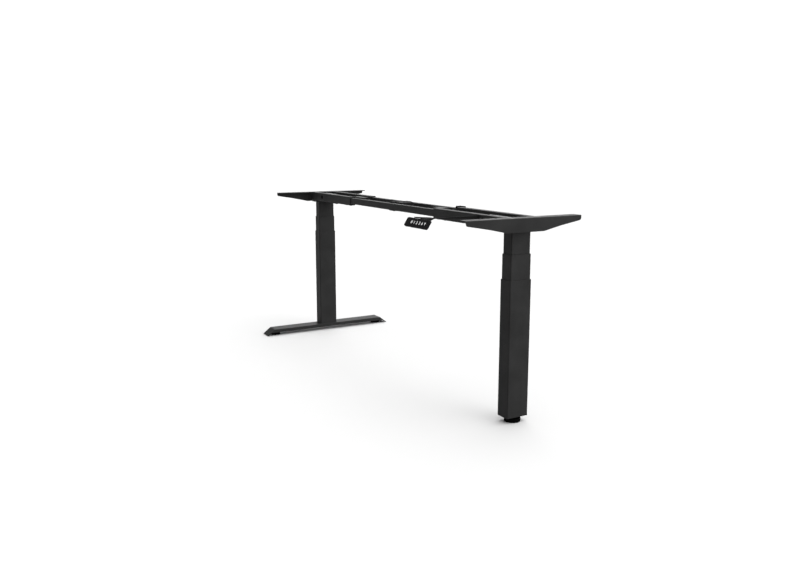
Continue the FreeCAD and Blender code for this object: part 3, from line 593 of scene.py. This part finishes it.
def ribbed(radius, depth, ribs):
    """A radius with shallow finger grooves round it."""
    def reach(angle):
        return radius - depth * (0.5 - 0.5 * math.cos(angle * ribs)) ** 3
    return reach


STUD_CREST, STUD_ROOT, STUD_PITCH = 4 * MM, 3.45 * MM, 1.25 * MM
NUT_APOTHEM, NUT_FACE, NUT_EASE = 6.3 * MM, 5.6 * MM, 0.6 * MM
FOOT_NUT = (11 * MM, 16.5 * MM)     # the lock nut's lowest and highest point
FINGER_GROOVES = 30
PAD_POINTS = 120


def glide(node, groove, outline, stud_low, nut=None):
    """A moulded pad with a grooved rim, its threaded stud and, where there is room, a lock nut.
    The outline's radius None stands for the grooved rim."""
    low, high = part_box(node)
    rim = ribbed((high.x - low.x) / 2, groove, FINGER_GROOVES)
    centre = centre_of(node)
    at = upright(centre.x, centre.y, 0)
    pad = bmesh.new()
    turned(pad, in_mm(*[(rim if radius is None else radius, height) for radius, height in outline]),
           at, PAD_POINTS)
    add_piece(node + "_pad", pad, node, "glide_rubber", node)
    stud = bmesh.new()
    thread(stud, at, stud_low, high.z, STUD_CREST, STUD_ROOT, STUD_PITCH, count=28)
    add_piece(node + "_stud", stud, node, "black_screws")
    if nut:
        nut_low, nut_high = nut
        flats = hexagon(NUT_APOTHEM)
        bolt = bmesh.new()
        turned(bolt, [(NUT_FACE, nut_low), (flats, nut_low + NUT_EASE), (flats, nut_high - NUT_EASE),
                      (NUT_FACE, nut_high)], at)
        add_piece(node + "_nut", bolt, node, "black_screws")


FOOT_PAD = ((20, 0), (21.4, 0.5), (None, 2), (None, 8), (21, 9.8), (19.5, 10.6), (12, 11), (7, 11))
LEG_PAD = ((25.5, 0), (26.9, 0.5), (None, 2), (None, 11.2), (26.7, 12.2), (14.6, 15.3), (14, 16),
           (14, 17), (13.4, 17.5))
for end in ROWS:
    glide("foot_glide_" + end, 0.8 * MM, FOOT_PAD, 10.5 * MM, FOOT_NUT)
glide("leg_glide", 0.9 * MM, LEG_PAD, 17 * MM)


# ---------------------------------------------------------------- bridge of the power inlet

BRIDGE_LONG = 15 * MM
BRIDGE_PLAY = 0.2 * MM              # above the rail, which slides under it

inlet_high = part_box("power_inlet")[1]
rail_low, rail_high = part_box("rear_rail")
bridge_end = face("right_rear_sleeve", "x", -1) - 1 * MM
bm = bmesh.new()
box_shape(bm, (bridge_end - BRIDGE_LONG, rail_low.y + 1 * MM, rail_high.z + BRIDGE_PLAY),
          (bridge_end, inlet_high.y - 20 * MM, inlet_high.z - 0.1 * MM), 0.3 * MM)
add_piece("inlet_bridge", bm, "right_head", "inlet_plastic")


# ---------------------------------------------------------------- motors and gearboxes

def can_profile(radius, long):
    """Rings of a motor from its gearbox end: flange, seam, shell, seam, vented cap, bearing boss."""
    shell, seam, boss_seat = radius - 0.3 * MM, radius - 1.2 * MM, long - 7 * MM
    return [(radius - 0.6 * MM, 0), (radius, 0.6 * MM), (radius, 9 * MM), (seam, 9.6 * MM),
            (seam, 11.4 * MM), (shell, 12 * MM),
            (shell, long - 25 * MM), (seam, long - 24.4 * MM), (seam, long - 22.6 * MM),
            (radius, long - 22 * MM), (radius, long - 9 * MM), (radius - 2 * MM, boss_seat),
            (17 * MM, boss_seat), (17 * MM, long - 1 * MM), (16 * MM, long), (8 * MM, long),
            (8 * MM, long - 2 * MM)]


CAP_RIBS = 12
CAP_SCREWS = 2
CAP_SCREW_OUT = 19.6 * MM
COVER_SCREW_X, COVER_SCREW_Y = 22 * MM, 21 * MM
COVER_RIBS = (-12, -6, 6, 12)       # across the gearbox, in mm from its middle
COVER_RIB_HALF_LONG, COVER_RIB_HALF_WIDE, COVER_RIB_EASE = 24 * MM, 0.8 * MM, 0.4 * MM

for side, sign in SIDES.items():
    low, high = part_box(side + "_motor")
    long, radius = high.x - low.x, (high.z - low.z) / 2
    # the motor's own axis runs from its gearbox towards the middle of the desk
    centre = centre_of(side + "_motor")
    at = Matrix.Translation((face(side + "_motor", "x", sign), centre.y, centre.z))
    at = at @ Matrix.Rotation(-sign * math.pi / 2, 4, "Y")
    bm = bmesh.new()
    turned(bm, can_profile(radius, long), at, 48)
    add_piece(side + "_motor_can", bm, side + "_head", "motor_enamel", side + "_motor")

    bm = bmesh.new()
    rib = [(x * MM, y * MM) for x, y in ((0, -2), (1.7, -2), (1.7, 2), (0, 2))]
    for i in range(CAP_RIBS):
        place = Matrix.Translation((radius - 1.4 * MM, 0, long - 15.5 * MM))
        prism(bm, rib, -4 * MM, 4 * MM,
              at @ Matrix.Rotation(WHOLE_TURN * i / CAP_RIBS, 4, "Z") @ place, 0.5 * MM)
    for i in range(CAP_SCREWS):
        turn = Matrix.Rotation(WHOLE_TURN * i / CAP_SCREWS + math.pi / 4, 4, "Z")
        place = Matrix.Translation((CAP_SCREW_OUT, 0, long - 7 * MM))
        socket = hexagon(1.1 * MM)
        turned(bm, in_mm((2.4, -1), (2.4, 1), (1.8, 1.7), (socket, 1.7), (socket, 0.4)),
               at @ turn @ place)
    add_piece(side + "_motor_ribs", bm, side + "_head", "motor_enamel")

    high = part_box(side + "_gearbox")[1]
    centre = centre_of(side + "_gearbox")
    bm = bmesh.new()
    turned(bm, in_mm((16, -0.6), (16, 1.6), (14.8, 2.6), (10, 2.6), (9, 1.4)),
           upright(centre.x, centre.y, high.z), 36)
    socket = hexagon(1.5 * MM)
    for x in (-COVER_SCREW_X, COVER_SCREW_X):
        for y in (-COVER_SCREW_Y, COVER_SCREW_Y):
            turned(bm, in_mm((4.6, -0.6), (4.6, 0.8), (4.1, 1.2), (3.2, 1.2), (3.2, 2.8), (2.7, 3.2),
                             (socket, 3.2), (socket, 1.4)),
                   upright(centre.x + x, centre.y + y, high.z))
    for y in COVER_RIBS:
        middle = centre.y + y * MM
        box_shape(bm, (centre.x - COVER_RIB_HALF_LONG, middle - COVER_RIB_HALF_WIDE, high.z - 0.4 * MM),
                  (centre.x + COVER_RIB_HALF_LONG, middle + COVER_RIB_HALF_WIDE, high.z + 1 * MM),
                  COVER_RIB_EASE)
    add_piece(side + "_gearbox_cover", bm, side + "_head", "gearbox_alloy")


# ---------------------------------------------------------------- handset

PRESS = {joint["child"]: Vector(joint["axis"]) for joint in frame["joints"]
         if joint["name"].startswith("press_")}


def key_frame(node):
    """A frame on top of a key: X along the desk, Y up the panel, Z out of it."""
    normal = -PRESS[node].normalized()
    across = Vector((1, 0, 0))
    up = normal.cross(across)
    points = [vert.co for vert in NODES[node].data.vertices]
    top = max(point.dot(normal) for point in points)
    middle = centre_of(node)
    middle += normal * (top - middle.dot(normal))
    turn = Matrix((across, up, normal)).transposed().to_4x4()
    return Matrix.Translation(middle) @ turn


GLYPH_SUNK, GLYPH_PROUD = -0.15 * MM, 0.12 * MM
GLYPH_TALL = 10.8 * MM
DIGIT_SHARE, DIGIT_BOLD = 0.72, 0.035     # a digit's height and added weight, by the font's size


def numeral(text, at, tall):
    """A digit from the built-in font, made bold, as a mesh."""
    curve = bpy.data.curves.new("digit", "FONT")
    curve.body = text
    curve.align_x = "CENTER"
    curve.align_y = "CENTER"
    curve.size = tall / DIGIT_SHARE
    curve.offset = tall * DIGIT_BOLD
    curve.extrude = 0.13 * MM
    holder = bpy.data.objects.new("digit", curve)
    scene.collection.objects.link(holder)
    bpy.context.view_layer.update()
    mesh = bpy.data.meshes.new_from_object(holder.evaluated_get(bpy.context.evaluated_depsgraph_get()))
    bpy.data.objects.remove(holder)
    bm = bmesh.new()
    bm.from_mesh(mesh)
    low = Vector(map(min, *[v.co for v in bm.verts]))
    high = Vector(map(max, *[v.co for v in bm.verts]))
    bmesh.ops.remove_doubles(bm, verts=bm.verts, dist=SAME_VERTEX)
    bm.transform(at @ Matrix.Translation(-Vector(((low.x + high.x) / 2, (low.y + high.y) / 2, 0))))
    return bm


for number, word in (("1", "one"), ("2", "two"), ("3", "three")):
    node = "button_" + word
    add_piece("glyph_" + word, numeral(number, key_frame(node), GLYPH_TALL), node, "glyph")

for word, tip in (("up", 1), ("down", -1)):
    node = "button_" + word
    arrow = [(x * MM, y * MM * tip) for x, y in ((0, 5.6), (4.6, -4.4), (-4.6, -4.4))]
    bm = bmesh.new()
    prism(bm, arrow[::tip], GLYPH_SUNK, GLYPH_PROUD, key_frame(node))
    add_piece("glyph_" + word, bm, node, "glyph")

MEMORY_RING, MEMORY_DOT = (5.4 * MM, 3.4 * MM), 1.9 * MM     # the ring's outer and inner radius
at = key_frame("button_memory")
outer, inner = MEMORY_RING
bm = bmesh.new()
skin(bm, [ring(radius, height, 32, at) for radius, height in
          ((outer, GLYPH_SUNK), (outer, GLYPH_PROUD), (inner, GLYPH_PROUD), (inner, GLYPH_SUNK))],
     loop=True)
turned(bm, [(MEMORY_DOT, GLYPH_SUNK), (MEMORY_DOT, GLYPH_PROUD)], at)
add_piece("glyph_memory", bm, "button_memory", "glyph")


# ---------------------------------------------------------------- edges of the carried-over nodes

EASED = {"powder_coat": 0.35 * MM, "handset_plastic": 0.3 * MM, "box_plastic": 0.5 * MM,
         "matt_sheet": 0.35 * MM, "inlet_plastic": 0.4 * MM, "gearbox_alloy": 0.6 * MM}
SAME_POINT = 0.01 * MM
for name, node in NODES.items():
    if node.hide_render:
        continue
    weld = node.modifiers.new("join", "WELD")
    weld.merge_threshold = SAME_POINT
    width = EASED.get(finish_of(name))
    if width:
        bevel = node.modifiers.new("ease", "BEVEL")
        bevel.width = width
        bevel.segments = 2
        bevel.limit_method = "ANGLE"
        bevel.angle_limit = math.radians(50)
        bevel.harden_normals = True


# ---------------------------------------------------------------- studio

def sun_light(name, energy, spread, turn):
    """A distant soft light; spread is the angle it seems to fill, in degrees."""
    light = bpy.data.lights.new(name, "SUN")
    light.energy = energy
    light.angle = math.radians(spread)
    lamp = bpy.data.objects.new(name, light)
    lamp.rotation_euler = turn
    scene.collection.objects.link(lamp)


def white_room():
    """Bright behind the desk and dim in front of it; the backdrop itself looks white all round."""
    world = bpy.data.worlds.new("studio")
    scene.world = world
    world.use_nodes = True
    nodes, links = world.node_tree.nodes, world.node_tree.links
    direction = nodes.new("ShaderNodeTexCoord")
    parts = nodes.new("ShaderNodeSeparateXYZ")
    fade = nodes.new("ShaderNodeMapRange")
    seen = nodes.new("ShaderNodeLightPath")
    strength = nodes.new("ShaderNodeMath")
    strength.operation = "MAXIMUM"
    for socket, value in (("From Min", -0.1), ("From Max", 0.3), ("To Min", 0.3), ("To Max", 2.6)):
        fade.inputs[socket].default_value = value
    nodes["Background"].inputs["Color"].default_value = (1, 1, 1, 1)
    links.new(direction.outputs["Generated"], parts.inputs["Vector"])
    links.new(parts.outputs["Y"], fade.inputs["Value"])
    links.new(fade.outputs["Result"], strength.inputs[0])
    links.new(seen.outputs["Is Camera Ray"], strength.inputs[1])
    links.new(strength.outputs["Value"], nodes["Background"].inputs["Strength"])


def pale_floor():
    bm = bmesh.new()
    bmesh.ops.create_grid(bm, x_segments=1, y_segments=1, size=60)
    mesh = bpy.data.meshes.new("floor")
    bm.to_mesh(mesh)
    bm.free()
    floor = bpy.data.objects.new("floor", mesh)
    scene.collection.objects.link(floor)
    material = bpy.data.materials.new("floor")
    material.use_nodes = True
    shader = material.node_tree.nodes["Principled BSDF"]
    shader.inputs["Base Color"].default_value = grey(0.48)
    shader.inputs["Roughness"].default_value = 0.9
    shader.inputs["Specular IOR Level"].default_value = 0.0
    mesh.materials.append(material)


def camera():
    yaw, pitch = math.radians(29.13), math.radians(10.15)
    data = bpy.data.cameras.new("camera")
    data.lens = 35
    data.sensor_width = 36
    view = bpy.data.objects.new("camera", data)
    view.location = (2.726, -1.523, 0.902)
    forward = Vector((-math.cos(yaw) * math.cos(pitch), math.sin(yaw) * math.cos(pitch),
                      -math.sin(pitch)))
    view.rotation_mode = "QUATERNION"
    view.rotation_quaternion = forward.to_track_quat("-Z", "Y")
    scene.collection.objects.link(view)
    scene.camera = view


white_room()
sun_light("overhead", 2.5, 70, (0, math.radians(6), 0))
sun_light("right_side", 1.0, 60, (0, math.radians(72), math.radians(12)))
pale_floor()
scene.view_settings.view_transform = "Standard"
camera()
